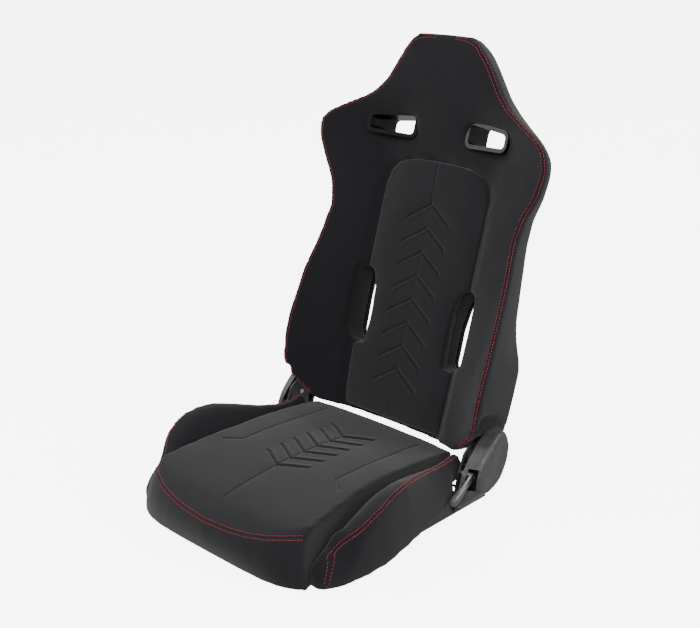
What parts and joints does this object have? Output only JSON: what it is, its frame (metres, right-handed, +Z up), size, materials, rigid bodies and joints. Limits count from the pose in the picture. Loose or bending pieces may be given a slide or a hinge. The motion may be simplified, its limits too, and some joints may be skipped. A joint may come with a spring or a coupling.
{
  "type": "reclining racing seat",
  "caption": "Reclining bucket seat with high side bolsters, harness slots in the shoulders, lumbar slots, side recliners and a steel frame under foam.",
  "frame": {"origin": "middle of the footprint, on the plane of the rails' feet", "axes": "+Z up, -Y the way the sitter faces, +X the sitter's left, where the release lever is"},
  "size_m": [0.584, 0.7286, 0.8737],
  "materials": {
    "black_steel": "black powder coat",
    "zinc_steel": "zinc plated",
    "spring_steel": "oiled spring steel",
    "knit_fabric": "fine matt black knit over foam",
    "insert_fabric": "embossed matt black knit over foam",
    "grey_plastic": "fine grain",
    "lever_plastic": "satin",
    "gloss_plastic": "polished",
    "cable_sheath": "extruded sheath"
  },
  "bodies": {
    "base": {"base_rail_left": "black_steel", "base_rail_right": "black_steel", "cable_ferrule_left": "zinc_steel", "cable_ferrule_right": "zinc_steel", "cushion_bolster_left": "knit_fabric", "cushion_bolster_right": "knit_fabric", "cushion_pad": "insert_fabric", "cushion_spring_0": "spring_steel", "cushion_spring_1": "spring_steel", "cushion_spring_2": "spring_steel", "front_cross_tube": "black_steel", "hub_pin_left": "zinc_steel", "hub_pin_right": "zinc_steel", "pawl_pin_left": "zinc_steel", "pawl_pin_right": "zinc_steel", "plate_bolt_left_0": "zinc_steel", "plate_bolt_left_1": "zinc_steel", "plate_bolt_right_0": "zinc_steel", "plate_bolt_right_1": "zinc_steel", "rear_cross_tube": "black_steel", "recline_spring_left": "spring_steel", "recline_spring_right": "spring_steel", "recliner_base_plate_left": "black_steel", "recliner_base_plate_right": "black_steel", "recliner_cover_left": "grey_plastic", "recliner_cover_right": "grey_plastic", "sync_cable": "cable_sheath", "trim_stud_left": "zinc_steel", "trim_stud_right": "zinc_steel"},
    "back": {"sector_arm_left": "black_steel", "sector_arm_right": "black_steel", "arm_bolt_left_0": "zinc_steel", "arm_bolt_left_1": "zinc_steel", "arm_bolt_right_0": "zinc_steel", "arm_bolt_right_1": "zinc_steel", "back_frame_leg_left": "black_steel", "back_frame_leg_right": "black_steel", "back_frame_top": "black_steel", "back_lower_bar": "black_steel", "head_frame_loop": "black_steel", "back_spring_0": "spring_steel", "back_spring_1": "spring_steel", "back_spring_2": "spring_steel", "back_bolster_left": "knit_fabric", "back_bolster_right": "knit_fabric", "shoulder_pad_left": "knit_fabric", "shoulder_pad_right": "knit_fabric", "back_insert_pad": "insert_fabric", "upper_back_pad": "knit_fabric", "head_pad": "knit_fabric", "back_rear_panel": "knit_fabric", "harness_bezel_front_left": "gloss_plastic", "harness_bezel_front_right": "gloss_plastic", "harness_bezel_rear_left": "gloss_plastic", "harness_bezel_rear_right": "gloss_plastic"},
    "release_lever": {"release_lever": "zinc_steel", "lever_grip": "lever_plastic"},
    "slave_lever": {"slave_lever": "zinc_steel"},
    "pawl_left": {"locking_pawl_left": "zinc_steel"},
    "pawl_right": {"locking_pawl_right": "zinc_steel"}
  },
  "joints": [
    {"name": "recline", "type": "hinge", "parent": "base", "child": "back", "pos_m": [0, 0.115, 0.106], "axis": [1, 0, 0], "range_deg": [-45, 50]},
    {"name": "lever_pull", "type": "hinge", "parent": "base", "child": "release_lever", "pos_m": [0, 0.082, 0.084], "axis": [1, 0, 0], "range_deg": [-20, 0], "stiffness_Nm_per_rad": 0.6},
    {"name": "slave_turn", "type": "hinge", "parent": "base", "child": "slave_lever", "pos_m": [0, 0.082, 0.084], "axis": [1, 0, 0], "range_deg": [-20, 0]},
    {"name": "pawl_left_lift", "type": "hinge", "parent": "base", "child": "pawl_left", "pos_m": [0, 0.136, 0.062], "axis": [1, 0, 0], "range_deg": [0, 9]},
    {"name": "pawl_right_lift", "type": "hinge", "parent": "base", "child": "pawl_right", "pos_m": [0, 0.136, 0.062], "axis": [1, 0, 0], "range_deg": [0, 9]}
  ],
  "couplings": [
    {"joint": "slave_turn", "follows": "lever_pull", "ratio": 1},
    {"joint": "pawl_left_lift", "follows": "lever_pull", "ratio": -0.45},
    {"joint": "pawl_right_lift", "follows": "lever_pull", "ratio": -0.45}
  ]
}
